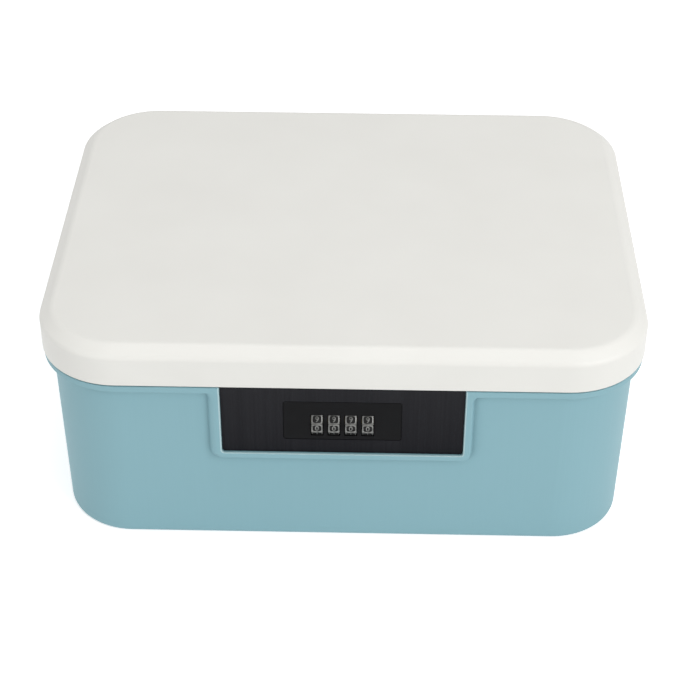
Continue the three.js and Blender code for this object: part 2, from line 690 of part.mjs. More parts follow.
// Case: a frame open to the front and back, two cheeks with seats for the spindle, ears, and screw bosses
function lockCase() {
  const y = [caseFront, caseBack];
  const outer = block([-caseHalfWidth, caseHalfWidth], y, [caseFoot, caseTop]);
  const hollow = block(
    [-caseHalfWidth + caseWall, caseHalfWidth - caseWall],
    [caseFront - overrun, caseBack + overrun],
    [caseFoot + caseWall, caseTop - caseWall]);
  const inside = [caseFoot + caseWall / 2, caseTop - caseWall / 2];
  const cheeks = [-1, 1].map((side) => block([cheekInner, cheekOuter].map((x) => x * side).sort((a, b) => a - b), y, inside));
  const ears = [-1, 1].map((side) => block(
    [caseHalfWidth - caseWall / 2, caseHalfWidth + earReach].map((x) => x * side).sort((a, b) => a - b),
    [earFront, earBack], [caseFoot + caseWall, caseTop - caseWall / 2]));
  const pedestal = block(
    [-springHalfWidth, springHalfWidth], [caseBack - seatGap - pedestalDepth, caseBack - seatGap],
    [caseFoot + caseWall / 2, caseFoot + caseWall + pedestalHeight]);
  const bossFront = earBack;
  const bosses = coverScrewPlaces().map(([x, z]) => bar([x, bossFront, z], [x, caseBack, z], caseBossRadius));
  const seatRadius = spindleRadius + seatGap;
  const seats = [
    bar([-cheekOuter - overrun / 2, wheelAxisY, wheelAxisZ], [cheekOuter + overrun / 2, wheelAxisY, wheelAxisZ],
      seatRadius, smallSides),
    block([-cheekOuter - overrun / 2, cheekOuter + overrun / 2], [wheelAxisY, caseBack + overrun],
      [wheelAxisZ - seatRadius, wheelAxisZ + seatRadius]),
  ];
  const slotReach = catchHalfWidth + slidingGap;
  const catchSlot = block(
    [-slotReach, slotReach],
    [wheelAxisY + toothTip / 2 - seatGap, catchBack + slidingGap],
    [caseTop - caseWall - seatGap, caseTop + overrun]);
  const coverPilots = coverScrewPlaces().map(([x, z]) =>
    bar([x, caseBack - coverScrew.length + coverThickness, z], [x, caseBack + overrun, z],
      coverScrew.shank + seatGap, smallSides));
  const earHoles = caseScrewPlaces().map(([x, z]) =>
    bar([x, earFront - overrun, z], [x, earBack + overrun, z], caseScrew.shank + seatGap, smallSides));
  const detentPilots = detentScrewPlaces().map((x) =>
    bar([x, detentScrewY, springFoot + springThickness + seatGap - detentScrew.length - seatGap],
      [x, detentScrewY, springFoot], detentScrew.shank + seatGap, smallSides));
  const whole = joined([outer.subtract(hollow), ...cheeks, ...ears, pedestal, ...bosses]);
  return cut(whole, [...seats, catchSlot, ...coverPilots, ...earHoles, ...detentPilots]);
}

function coverScrewPlaces() {
  return [-coverScrewX, coverScrewX].flatMap((x) => coverScrewZs.map((z) => [x, z]));
}

function detentScrewPlaces() {
  return [-wheelPitch, wheelPitch];
}

// Cover with tongues that close the spindle seats and a slot for the code tab
function lockCover() {
  const cover = block([-caseHalfWidth, caseHalfWidth], [coverFront, coverBack], [caseFoot, caseTop]);
  const tongueReach = cheekThickness / 2 - seatGap;
  const tongues = [-1, 1].map((side) => {
    const middle = side * (cheekInner + cheekOuter) / 2;
    return block(
      [middle - tongueReach, middle + tongueReach],
      [wheelAxisY + spindleRadius + 1.5 * seatGap, coverFront + coverThickness / 2],
      [wheelAxisZ - spindleRadius, wheelAxisZ + spindleRadius]);
  });
  const slot = block(
    [forkLeft - seatGap, forkRight + codeTravel + seatGap],
    [coverFront - overrun, coverBack + overrun],
    [wheelAxisZ - tabHalfHeight - seatGap, wheelAxisZ + tabHalfHeight + seatGap]);
  const holes = coverScrewPlaces().map(([x, z]) =>
    bar([x, coverFront - overrun, z], [x, coverBack + overrun, z], coverScrew.shank + seatGap, smallSides));
  return cut(joined([cover, ...tongues]), [slot, ...holes]);
}

// Leaf comb: a flat root on the pedestal, and one finger that rises under each wheel
function detentSpring() {
  const rootBack = caseBack - 2 * seatGap;
  const rootFront = rootBack - springRootDepth;
  const top = wheelAxisZ - wheelRadius - seatGap;
  const crest = top - springThickness;
  const tipY = wheelAxisY - springFingerWidth / 2;
  const under = [
    [rootBack, springFoot], [rootFront, springFoot],
    [wheelAxisY + springFingerWidth / 2, crest], [tipY, crest], [tipY - springThickness, crest - springThickness],
  ];
  const over = under.map(([y, z]) => [y, z + springThickness]).reverse();
  const finger = new THREE.Shape([...under, ...over].map(([y, z]) => new THREE.Vector2(y, z)).reverse());
  const root = block([-springHalfWidth, springHalfWidth], [rootFront + springThickness, rootBack],
    [springFoot, springFoot + springThickness]);
  const holes = detentScrewPlaces().map((x) =>
    bar([x, detentScrewY, springFoot - overrun], [x, detentScrewY, springFoot + overrun],
      detentScrew.shank + seatGap, smallSides));
  return cut(joined([root, ...wheelCentres.map((x) => across(finger, x, springFingerWidth))]), holes);
}

// Catch: a bent angle under the lid, with one tooth for each gate at its foot
function lidCatch() {
  const foot = toothTop - toothHeight;
  const flangeFoot = catchFlangeTop - catchThickness;
  const outerBend = catchBendRadius + catchThickness;
  const angle = new THREE.Shape();
  angle.moveTo(catchFront, foot);
  angle.lineTo(catchBack, foot);
  angle.lineTo(catchBack, flangeFoot - catchBendRadius);
  angle.absarc(catchBack + catchBendRadius, flangeFoot - catchBendRadius, catchBendRadius, Math.PI, Math.PI / 2, true);
  angle.lineTo(catchBack + catchFlangeDepth, flangeFoot);
  angle.lineTo(catchBack + catchFlangeDepth, catchFlangeTop);
  angle.absarc(catchFront + outerBend, catchFlangeTop - outerBend, outerBend, Math.PI / 2, Math.PI);
  angle.closePath();
  const toothHalf = (wheelGap - 3 * seatGap) / 2;
  const teeth = wheelCentres.map((x) => {
    const middle = x + wheelPitch / 2;
    return block([middle - toothHalf, middle + toothHalf], [wheelAxisY + toothTip, catchBack], [foot, toothTop]);
  });
  const holes = [-catchScrewSpread, catchScrewSpread].map((x) =>
    bar([x, catchScrewY, flangeFoot - overrun], [x, catchScrewY, catchFlangeTop + overrun],
      catchScrew.shank + seatGap, smallSides));
  return cut(joined([across(angle, 0, 2 * catchHalfWidth), ...teeth]), holes);
}

// Screw about its own axis: the head's underside is at zero and the shank points down
function screw({ shank, head, headHeight, length }) {
  const profile = [
    [0, -length], [shank * 0.6, -length], [shank, -length + shank], [shank, 0],
    [head, 0], [head, headHeight * 0.5], [head * 0.7, headHeight * 0.9], [0, headHeight],
  ].map(([radius, y]) => new THREE.Vector2(radius, y));
  return solid(new THREE.LatheGeometry(profile, smallSides));
}

function hingePin() {
  const length = lidLugWidth + 2 * binLugWidth + 2 * lugSideGap;
  const end = pinRadius / 3;
  const profile = [
    [0, -length / 2], [pinRadius - end, -length / 2], [pinRadius, -length / 2 + end],
    [pinRadius, length / 2 - end], [pinRadius - end, length / 2], [0, length / 2],
  ].map(([radius, y]) => new THREE.Vector2(radius, y));
  return solid(new THREE.LatheGeometry(profile, roundSides).rotateZ(Math.PI / 2));
}

// Assembly
const box = new THREE.Group();
const lock = new THREE.Group();
lock.position.x = lockCentre;
box.add(piece('base_bin', binBase(), blueMoulding));
box.add(piece('lid_shell', lid(), whiteMoulding));
box.add(lock);

lock.add(piece('lock_panel', lockPanel(), blackMoulding));
lock.add(piece('lock_insert', lockInsert(), smoothBlack));
lock.add(piece('lock_case', lockCase(), blackMoulding));
lock.add(piece('lock_cover', lockCover(), blackMoulding));
lock.add(piece('detent_spring', detentSpring(), steel));
lock.add(piece('lock_spindle', spindle(), steel));
lock.add(piece('code_slide', codeSlide(), smoothBlack));
lock.add(piece('lid_catch', lidCatch(), steel));

wheelCentres.forEach((x, i) => {
  const wheel = piece(`number_wheel_${i + 1}`, numberWheel(), platedMetal);
  const sleeve = piece(`gate_sleeve_${i + 1}`, gateSleeve(), brass);
  wheel.position.set(x, wheelAxisY, wheelAxisZ);
  sleeve.position.set(x, wheelAxisY, wheelAxisZ);
  lock.add(wheel, sleeve);
});

caseScrewPlaces().forEach(([x, z], i) => {
  const mesh = piece(`case_screw_${i + 1}`, screw(caseScrew), steel);
  mesh.position.set(x, earBack + seatGap, z);
  lock.add(mesh);
});

coverScrewPlaces().forEach(([x, z], i) => {
  const mesh = piece(`cover_screw_${i + 1}`, screw(coverScrew), steel);
  mesh.position.set(x, coverBack + seatGap, z);
  lock.add(mesh);
});

['left', 'right'].forEach((side, i) => {
  const detent = piece(`detent_screw_${side}`, screw(detentScrew), steel);
  detent.position.set(detentScrewPlaces()[i], detentScrewY, springFoot + springThickness + seatGap);
  detent.rotation.x = Math.PI / 2;
  lock.add(detent);
  const catchMesh = piece(`catch_screw_${side}`, screw(catchScrew), steel);
  catchMesh.position.set(catchScrewPlaces()[i], catchScrewY, catchFlangeTop - catchThickness - seatGap);
  catchMesh.rotation.x = -Math.PI / 2;
  box.add(catchMesh);
  const pin = piece(`hinge_pin_${side}`, hingePin(), steel);
  pin.position.set(i === 0 ? -hingeSpread : hingeSpread, hingeY, hingeZ);
  box.add(pin);
});

export default box;
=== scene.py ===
import math

import bmesh
import bpy
from mathutils import Matrix, Vector


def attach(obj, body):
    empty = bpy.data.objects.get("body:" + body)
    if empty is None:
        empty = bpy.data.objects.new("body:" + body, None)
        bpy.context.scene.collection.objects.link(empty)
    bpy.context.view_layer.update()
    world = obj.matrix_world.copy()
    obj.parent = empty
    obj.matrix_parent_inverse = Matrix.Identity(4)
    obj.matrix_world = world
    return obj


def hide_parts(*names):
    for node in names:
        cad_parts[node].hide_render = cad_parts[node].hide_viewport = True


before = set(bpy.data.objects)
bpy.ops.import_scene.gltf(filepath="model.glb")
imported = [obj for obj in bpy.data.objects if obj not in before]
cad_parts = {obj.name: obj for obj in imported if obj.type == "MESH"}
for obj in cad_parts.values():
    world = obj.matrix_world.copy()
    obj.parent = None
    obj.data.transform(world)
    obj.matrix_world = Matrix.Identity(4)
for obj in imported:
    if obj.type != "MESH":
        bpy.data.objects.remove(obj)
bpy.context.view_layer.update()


# Camera: it looks down at the front of the box from a little to its right, as the photograph does.
# The lens is long, and the small shifts put the box where the photograph has it.
camera_place = Vector((0.015192, -0.765458, 0.626652))
camera_forward = Vector((-0.015959, 0.804103, -0.594275)).normalized()
camera_swing = math.radians(1.137)
camera_roll = math.radians(0.19)

level_right = Vector((math.cos(camera_swing), math.sin(camera_swing), 0))
level_up = level_right.cross(camera_forward)
right = math.cos(camera_roll) * level_right + math.sin(camera_roll) * level_up
up = math.cos(camera_roll) * level_up - math.sin(camera_roll) * level_right
camera_data = bpy.data.cameras.new("camera")
camera_data.sensor_width = 36
camera_data.lens = 92.06
camera_data.shift_x = -0.00913
camera_data.shift_y = -0.0429


def add_object(name, data):
    made = bpy.data.objects.new(name, data)
    bpy.context.scene.collection.objects.link(made)
    return made


camera = add_object("camera", camera_data)
facing = Matrix((right, up, -camera_forward)).transposed().to_4x4()
camera.matrix_world = Matrix.Translation(camera_place) @ facing
bpy.context.scene.camera = camera


# Bin: one blue moulding of polypropylene, 2.5 mm thick, that narrows toward its foot.
# A band under the lid stands out from the wall, a thin upstand inside it enters the lid,
# and a soft raised frame in the front wall holds the lock panel.
MM = 0.001
gap, overrun = 0.3, 3
corner_steps, ease_steps = 24, 6
lid_width, lid_depth, lid_top, lid_corner = 300, 233.5, 121.6, 40.7
chamfer_run, chamfer_drop, skirt_height = 6.2, 4.75, 16.65
lid_wall, bin_wall, bin_floor = 2.4, 2.5, 3
band_inset, band_height, band_fillet, rim_step = 0.6, 4.4, 2.8, 0.7
side_setback, front_setback, body_corner = 4.25, 3.75, 41
side_taper, front_taper, corner_taper = 2, 1.15, 5
foot_run, floor_run = 6, 12
upstand_height, upstand_wall, upstand_room = 10, 2.2, 0.8
lid_outline = (lid_width / 2, lid_depth / 2, lid_corner)
skirt_foot = lid_top - chamfer_drop - skirt_height
band_top = skirt_foot - gap
band_foot = band_top - band_height
rim_top = band_top - rim_step
body_top = band_foot - band_fillet
upstand_top = band_top + upstand_height


def ring(half_width, half_depth, corner, z):
    """A level of a moulded shell: a rectangle with round corners."""
    points = []
    for quarter, (side, end) in enumerate(((1, 1), (-1, 1), (-1, -1), (1, -1))):
        for step in range(corner_steps + 1):
            angle = (quarter + step / corner_steps) * math.pi / 2
            x = side * (half_width - corner) + corner * math.cos(angle)
            y = end * (half_depth - corner) + corner * math.sin(angle)
            points.append((x, y, z))
    return points


def between(first, second, share):
    """The numbers that lie at a share of the way from the first ones to the second."""
    return tuple(a + (b - a) * share for a, b in zip(first, second))


def eased(path):
    """A path of (numbers, ease) with each corner rounded over the length of its ease."""
    spots = [numbers for numbers, _ in path]
    result = [spots[0]]
    corners = zip(path[1:-1], spots, spots[1:], spots[2:])
    for (_, ease), before, spot, after in corners:
        if not ease:
            result.append(spot)
            continue
        reach_back = math.hypot(spot[0] - before[0], spot[-1] - before[-1])
        reach_on = math.hypot(after[0] - spot[0], after[-1] - spot[-1])
        start = between(spot, before, min(ease / reach_back, 0.499))
        end = between(spot, after, min(ease / reach_on, 0.499))
        for step in range(ease_steps + 1):
            t = step / ease_steps
            result.append(between(between(start, spot, t), between(spot, end, t), t))
    result.append(spots[-1])
    return result


def lofted(name, rings):
    """A closed mesh through rings of points in millimetres."""
    shape = bmesh.new()
    rows = [[shape.verts.new(Vector(point) * MM) for point in points] for points in rings]
    for low, high in zip(rows, rows[1:]):
        for i in range(len(low)):
            j = (i + 1) % len(low)
            shape.faces.new((low[i], low[j], high[j], high[i]))
    shape.faces.new(reversed(rows[0]))
    shape.faces.new(rows[-1])
    bmesh.ops.remove_doubles(shape, verts=shape.verts, dist=1e-7)
    bmesh.ops.recalc_face_normals(shape, faces=shape.faces)
    mesh = bpy.data.meshes.new(name)
    shape.to_mesh(mesh)
    shape.free()
    return add_object(name, mesh)


def prism(name, outline, axis, start, end, soft=0.0):
    """An outline given thickness along an axis, with its edges broken by soft millimetres."""
    place = {
        "x": lambda level, u, v: (level, u, v),
        "y": lambda level, u, v: (u, level, v),
        "z": lambda level, u, v: (u, v, level),
    }[axis]
    made = lofted(name, [[place(level, u, v) for u, v in outline] for level in (start, end)])
    if soft:
        shape = bmesh.new()
        shape.from_mesh(made.data)
        sharp = [edge for edge in shape.edges if edge.calc_face_angle(0) > math.radians(30)]
        bmesh.ops.bevel(shape, geom=sharp, offset=soft * MM, segments=3, profile=0.5, affect="EDGES")
        shape.to_mesh(made.data)
        shape.free()
    return made


def block(name, x, y, z, soft=0.0):
    return prism(name, [(x[0], y[0]), (x[1], y[0]), (x[1], y[1]), (x[0], y[1])], "z", *z, soft)


def disc(centre, radius, sides):
    turns = [i * (2 * math.pi / sides) for i in range(sides)]
    return [(centre[0] + radius * math.cos(turn), centre[1] + radius * math.sin(turn)) for turn in turns]


def carve(body, operation, tools):
    """Joins tools to the body or cuts them from it."""
    for tool in tools:
        step = body.modifiers.new("carve", "BOOLEAN")
        step.operation = operation
        step.solver = "EXACT"
        step.object = tool
        graph = bpy.context.evaluated_depsgraph_get()
        mesh = bpy.data.meshes.new_from_object(body.evaluated_get(graph))
        body.modifiers.clear()
        body.data = mesh
        bpy.data.objects.remove(tool)


def shade(body, angle=32):
    """Smooth shading that keeps the flats flat and the real edges sharp."""
    body.data.shade_smooth()
    body.data.set_sharp_from_angle(angle=math.radians(angle))
    weighted = body.modifiers.new("flats", "WEIGHTED_NORMAL")
    weighted.keep_sharp = True


def body_size(z):
    """Half width, half depth and corner of the tapered wall's outside at a height."""
    narrowing = 1 - min(z, body_top) / body_top
    return (
        lid_width / 2 - side_setback - side_taper * narrowing,
        lid_depth / 2 - front_setback - front_taper * narrowing,
        body_corner - corner_taper * narrowing,
    )


def inset(size, amount):
    return tuple(value - amount for value in size)


band = inset(lid_outline, band_inset)
upstand = inset(lid_outline, lid_wall + upstand_room)
upstand_inside = inset(upstand, upstand_wall)
# Each level of a profile is a half width, half depth, corner and height, and then the rounding there.
bin_profile = [
    ((*inset(body_size(0), foot_run), 0), 0),
    ((*body_size(0), 0), 2.5),
    ((*body_size(body_top), body_top + 0.6), 1.2),
    ((*inset(body_size(body_top), -1.2), band_foot - 0.25), 0.9),
    ((*band, band_foot + 0.1), 0.9),
    ((*band, rim_top), 0.6),
    ((*upstand, rim_top), 0.3),
    ((*upstand, upstand_top), 0.6),
    ((*upstand_inside, upstand_top), 0.6),
    ((*upstand_inside, band_foot), 1.5),
    ((*inset(body_size(body_top), bin_wall), body_top), 1.5),
    ((*inset(body_size(bin_floor), bin_wall), bin_floor), 5),
    ((*inset(body_size(bin_floor), bin_wall + floor_run), bin_floor), 0),
]
bin_shell = lofted("blue_bin", [ring(*level) for level in eased(bin_profile)])

lock_centre = 0.6
panel_half_width, panel_height, panel_drop = 59.25, 41, 0.6
panel_setback, panel_thickness, pocket_wall = 1.7, 2.2, 2.3
frame_side_border, frame_foot_border, left_extra = 4.7, 4.3, 1.6
frame_corner, frame_shoulder, least_shoulder = 5, 3.5, 0.5
pad_margin, pad_rise = 2.5, 4.1
sunk = 0.05
panel_top = band_top - panel_drop
panel_foot = panel_top - panel_height
panel_face = -band[1] + panel_setback
panel_back = panel_face + panel_thickness
pocket_floor = panel_back + gap
pad_back = pocket_floor + pocket_wall
frame_half_width, frame_foot = panel_half_width + frame_side_border, panel_foot - frame_foot_border


def arc(u, v, radius, start, end, steps):
    """Points round the middle (u, v), from one angle to another in degrees."""
    span = [math.radians(start + (end - start) * i / steps) for i in range(steps + 1)]
    return [(u + radius * math.cos(angle), v + radius * math.sin(angle)) for angle in span]


def frame_outline(offset):
    """The frame's outline, grown by offset. Its left side is broader and rounder than its right one."""
    inward = min(offset, 0)
    drop = max(offset, 0) + inward / 2
    foot, corner = frame_foot - drop, frame_corner + drop
    shoulder = max(frame_shoulder - drop, least_shoulder)
    below_round = rim_top - 0.9
    sides = []
    for half in (frame_half_width + drop, frame_half_width + left_extra + drop + inward):
        sides.append([
            *arc(half - corner, foot + corner, corner, -90, 0, 14),
            *arc(half + shoulder, band_foot - drop - shoulder, shoulder, 180, 90, 14),
            (half + shoulder, below_round),
        ])
    right_side, left_side = sides
    return right_side + [(-x, z) for x, z in reversed(left_side)]


def frame_ring(offset, share):
    """A ring of the raised frame. Share 0 lies on the drafted wall, and share 1 on the face."""
    points = []
    for x, z in frame_outline(offset):
        wall = body_size(z)[1] - sunk
        points.append((x + lock_centre, -(wall + share * (band[1] - sunk - wall)), z))
    return points


# Each level of the frame is an offset from its outline and a share: a small fillet at the wall,
# a broad quarter round, and the flat face.
root_share, round_width, face_start = 0.1, 3.1, 3.5
frame_root = eased([((1.4, -0.6), 0), ((1.4, 0), 0), ((0.1, 0.02), 0.4), ((0, root_share), 0)])
frame_round = [(-round_width * (1 - u), root_share + 0.9 * v) for u, v in arc(0, 0, 1, 0, 90, 16)[1:]]
frame_levels = [*frame_root, *frame_round, (-face_start, 1)]
raised_frame = lofted("raised_frame", [frame_ring(*level) for level in frame_levels])
pad = block("lock_pad",
            (lock_centre - frame_half_width - pad_margin, lock_centre + frame_half_width + pad_margin),
            (pocket_floor - gap, pad_back), (frame_foot - pad_margin, band_top + pad_rise), 0.8)

hinge_setback, hinge_drop, lug_drop = 4.75, 6.2, 12
hinge_middle, hinge_y, hinge_z = 85, lid_depth / 2 + hinge_setback, skirt_foot - hinge_drop
knuckle_radius, pin_radius = 4, 1.5
lid_lug_width, bin_lug_width, lug_gap = 14, 8, 0.4


def lug_outline():
    """A bin lug from the side: rooted in the wall, round about the pin, and sloped below."""
    root = body_size(hinge_z)[1] - bin_wall / 2
    lean = knuckle_radius * math.sqrt(0.5)
    return [
        (root, hinge_z + knuckle_radius),
        (root, hinge_z - lug_drop),
        (root + bin_wall, hinge_z - lug_drop),
        (hinge_y + lean, hinge_z - lean),
        *arc(hinge_y, hinge_z, knuckle_radius, -45, 90, 16)[1:],
    ]


bin_lugs = []
for middle in (-hinge_middle, hinge_middle):
    for way in (-1, 1):
        lug_middle = middle + way * (lid_lug_width / 2 + lug_gap + bin_lug_width / 2)
        ends = (lug_middle - bin_lug_width / 2, lug_middle + bin_lug_width / 2)
        bin_lugs.append(prism("bin_lug", lug_outline(), "x", *ends, 0.4))
carve(bin_shell, "UNION", [raised_frame, pad, *bin_lugs])

pocket_reach = panel_half_width + gap
# The pocket grows at its mouth by a round, so that its edge is soft. At its foot the round is flatter.
pocket_corner, mouth_round, mouth_turn, foot_share = 1.5, 1, 72, 0.4
quarter = arc(0, 0, 1, 0, mouth_turn, 6)
mouth = [(mouth_round * (1 - u), -band[1] + mouth_round * (1 - v)) for u, v in quarter]
beyond_mouth = (mouth[-1][0] + 0.9, mouth[-1][1] - 0.6)
pocket_rings = []
for grow, y in [(0, pocket_floor), *mouth, beyond_mouth]:
    x, corner = pocket_reach + grow, pocket_corner + grow
    foot, head = panel_foot - gap - grow * foot_share, panel_top + gap
    outline = [(-x, head), *arc(corner - x, foot + corner, corner, 180, 270, 8),
               *arc(x - corner, foot + corner, corner, 270, 360, 8), (x, head)]
    pocket_rings.append([(lock_centre + u, y, v) for u, v in outline])
pocket = lofted("pocket", pocket_rings)
case_half_width, case_foot, case_top = 31, 60.7, 90.2
ear_screw_reach, ear_screw_heights, post_radius = 5, (66, 87.1), 3
wall_through = (pocket_floor - overrun, pad_back + overrun)
case_hole = block("case_hole", (lock_centre - case_half_width - gap, lock_centre + case_half_width + gap),
                  wall_through, (case_foot - gap, case_top + gap))
case_screw_spots = [(lock_centre + side * (case_half_width + ear_screw_reach), z)
                    for side in (-1, 1) for z in ear_screw_heights]
post_holes = [prism("post_hole", disc(spot, post_radius + gap, 32), "y", *wall_through)
              for spot in case_screw_spots]


def pin_bores():
    """Cutters for the two hinge pins, each through all lugs of its hinge."""
    reach = lid_lug_width / 2 + bin_lug_width + lug_gap + overrun
    outline = disc((hinge_y, hinge_z), pin_radius + gap, 32)
    return [prism("pin_bore", outline, "x", middle - reach, middle + reach)
            for middle in (-hinge_middle, hinge_middle)]


carve(bin_shell, "DIFFERENCE", [pocket, case_hole, *post_holes, *pin_bores()])
shade(bin_shell)


class Shade:
    """An output in a material's node tree. Adding to it or multiplying it adds a Math node."""

    def __init__(self, tree, socket):
        self.tree = tree
        self.socket = socket

    def node(self, kind, settings=None, inputs=None, output=0):
        made = self.tree.nodes.new(kind)
        for name, value in (settings or {}).items():
            setattr(made, name, value)
        for name, value in (inputs or {}).items():
            if isinstance(value, Shade):
                self.tree.links.new(value.socket, made.inputs[name])
            else:
                made.inputs[name].default_value = value
        return Shade(self.tree, made.outputs[output])

    def __add__(self, other):
        return self.node("ShaderNodeMath", {"operation": "ADD"}, {0: self, 1: other})

    __radd__ = __add__

    def __mul__(self, other):
        return self.node("ShaderNodeMath", {"operation": "MULTIPLY"}, {0: self, 1: other})

    __rmul__ = __mul__

    def stretched(self, x, y, z):
        return self.node("ShaderNodeVectorMath", {"operation": "MULTIPLY"}, {0: self, 1: (x, y, z)})

    def noise(self, scale, detail=2.0, roughness=0.5):
        return self.node("ShaderNodeTexNoise", None,
                         {"Vector": self, "Scale": scale, "Detail": detail, "Roughness": roughness})

    def ramp(self, low, high):
        """Spreads the stretch from low to high over 0 to 1."""
        return self.node("ShaderNodeMapRange", {"clamp": True},
                         {"Value": self, "From Min": low, "From Max": high})

    def colour(self, low, high):
        """Mixes two colours by this value. Each is three numbers or another output."""
        low, high = (end if isinstance(end, Shade) else (*end, 1) for end in (low, high))
        return self.node("ShaderNodeMix", {"data_type": "RGBA"}, {0: self, 6: low, 7: high}, 2)

    def bump(self, strength, distance, normal=None):
        inputs = {"Strength": strength, "Distance": distance, "Height": self}
        if normal is not None:
            inputs["Normal"] = normal
        return self.node("ShaderNodeBump", None, inputs)


def finish(name, settings, build):
    """A named material. Settings go on the shader's own sockets, and build returns the ones that vary."""
    material = bpy.data.materials.new(name)
    material.use_nodes = True
    tree = material.node_tree
    shader = tree.nodes["Principled BSDF"]
    for socket, value in settings.items():
        shader.inputs[socket].default_value = value
    coordinates = tree.nodes.new("ShaderNodeTexCoord")
    for socket, value in build(Shade(tree, coordinates.outputs["Object"])).items():
        tree.links.new(value.socket, shader.inputs[socket])
    return material


def upright_streaks(place):
    return place.stretched(1, 1, 0.012).noise(420, 3, 0.65)


def blue_looks(place):
    """Faint upright streaks from the mould, a fine grain, and painted shade that darkens the colour in narrow
    creases.
    """
    brushed = upright_streaks(place)
    grain = place.noise(2600, 2)
    cloud = place.noise(9, 2)
    tone = (brushed * 0.5 + cloud * 0.5).ramp(0.3, 0.7)
    # Painted shade: ambient occlusion darkens the base colour in creases, such as beside the raised frame.
    openness_for_painted_shade = place.node("ShaderNodeAmbientOcclusion", {"only_local": True, "samples": 12},
                          {"Distance": 0.006}, 1)
    unshaded_tone = tone.colour((0.248, 0.441, 0.497), (0.257, 0.452, 0.508))
    return {
        "Base Color": openness_for_painted_shade.ramp(0.3, 0.95).colour((0.145, 0.27, 0.31), unshaded_tone),
        "Roughness": 0.44 + brushed * 0.12,
        "Normal": grain.bump(0.1, 0.00012, brushed.bump(0.22, 0.0002)),
    }


def wear(obj, material, body, slot_name, *nodes):
    """Puts a finish on a piece and hands the piece to the body that it moves with."""
    obj.data.materials.clear()
    obj.data.materials.append(material)
    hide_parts(*nodes)
    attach(obj, body)


def glossy_blue_looks(place):
    """The pocket's mouth, where the mould is polished, with a painted highlight: a paler blue base colour."""
    brushed = upright_streaks(place)
    return {
        # Painted highlight: a paler blue than the wall.
        "Base Color": brushed.colour((0.43, 0.62, 0.65), (0.47, 0.65, 0.68)),
        "Roughness": 0.18 + brushed * 0.1,
        "Normal": brushed.bump(0.08, 0.0001),
    }


blue = finish("blue_polypropylene", {"Specular IOR Level": 0.3}, blue_looks)
blue_with_painted_highlight = finish("blue_polished_edge_painted_highlight", {"Specular IOR Level": 0.6}, glossy_blue_looks)
wear(bin_shell, blue, "bin", "blue_moulding", "base_bin")
bin_shell.data.materials.append(blue_with_painted_highlight)
# The polish and its painted highlight cover the mouth's round, and neither the frame's flat face nor the
# pocket's straight walls.
foot_start, side_start, mouth_end, flat_facing = 0.12, 0.02, mouth_round + 0.01, -0.97
for face in bin_shell.data.polygons:
    spot = face.center / MM
    depth = spot.y + band[1]
    start = foot_start if spot.z < panel_foot - gap / 2 else side_start
    at_side = abs(spot.x - lock_centre) < pocket_reach + mouth_round
    at_height = panel_foot - gap - mouth_round < spot.z < rim_top
    if at_side and at_height and start < depth < mouth_end and face.normal.y > flat_facing:
        face.material_index = 1


# Hinge pins: two plain drawn steel pins, pushed through the lugs of the bin and of the lid.
# Their ends are chamfered and stay flush with the outer lugs.
sharp_angle = math.radians(32)
weld_distance = 1e-6
soft_group = bpy.data.node_groups.new("soft_edges", "GeometryNodeTree")
soft_group.interface.new_socket("Geometry", in_out="INPUT", socket_type="NodeSocketGeometry")
soft_group.interface.new_socket("Geometry", in_out="OUTPUT", socket_type="NodeSocketGeometry")
group_in = soft_group.nodes.new("NodeGroupInput")
group_out = soft_group.nodes.new("NodeGroupOutput")
smooth_all = soft_group.nodes.new("GeometryNodeSetShadeSmooth")
keep_sharp = soft_group.nodes.new("GeometryNodeSetShadeSmooth")
keep_sharp.domain = "EDGE"
edge_angle = soft_group.nodes.new("GeometryNodeInputMeshEdgeAngle")
is_sharp = soft_group.nodes.new("ShaderNodeMath")
is_sharp.operation = "GREATER_THAN"
is_sharp.inputs[1].default_value = sharp_angle
keep_sharp.inputs["Shade Smooth"].default_value = False
soft_group.links.new(group_in.outputs[0], smooth_all.inputs["Geometry"])
soft_group.links.new(smooth_all.outputs[0], keep_sharp.inputs["Geometry"])
soft_group.links.new(edge_angle.outputs["Unsigned Angle"], is_sharp.inputs[0])
soft_group.links.new(is_sharp.outputs[0], keep_sharp.inputs["Selection"])
soft_group.links.new(keep_sharp.outputs[0], group_out.inputs[0])


def dress(node, material, soft=0.0):
    """Gives a CAD piece its finish, breaks its sharp edges and smooths its round faces."""
    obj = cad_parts[node]
    for place in obj.material_slots:
        place.material = material
    weld = obj.modifiers.new("weld", "WELD")
    weld.merge_threshold = weld_distance
    if soft:
        edges = obj.modifiers.new("broken_edges", "BEVEL")
        edges.width = soft * MM
        edges.segments = 2
        edges.limit_method = "ANGLE"
        edges.angle_limit = sharp_angle
        edges.use_clamp_overlap = True
    round_faces = obj.modifiers.new("round_faces", "NODES")
    round_faces.node_group = soft_group
    weighted = obj.modifiers.new("flats", "WEIGHTED_NORMAL")
    weighted.keep_sharp = True


def drawn_steel_looks(place):
    drawn = place.stretched(0.02, 1, 1).noise(2200, 3, 0.6)
    cloud = place.noise(160, 2)
    return {
        "Base Color": cloud.colour((0.44, 0.45, 0.47), (0.58, 0.59, 0.6)),
        "Roughness": 0.2 + drawn * 0.22,
        "Normal": drawn.bump(0.25, 0.00005),
    }


bright_steel = finish("drawn_steel", {"Metallic": 1.0}, drawn_steel_looks)
for side in ("left", "right"):
    dress(f"hinge_pin_{side}", bright_steel)
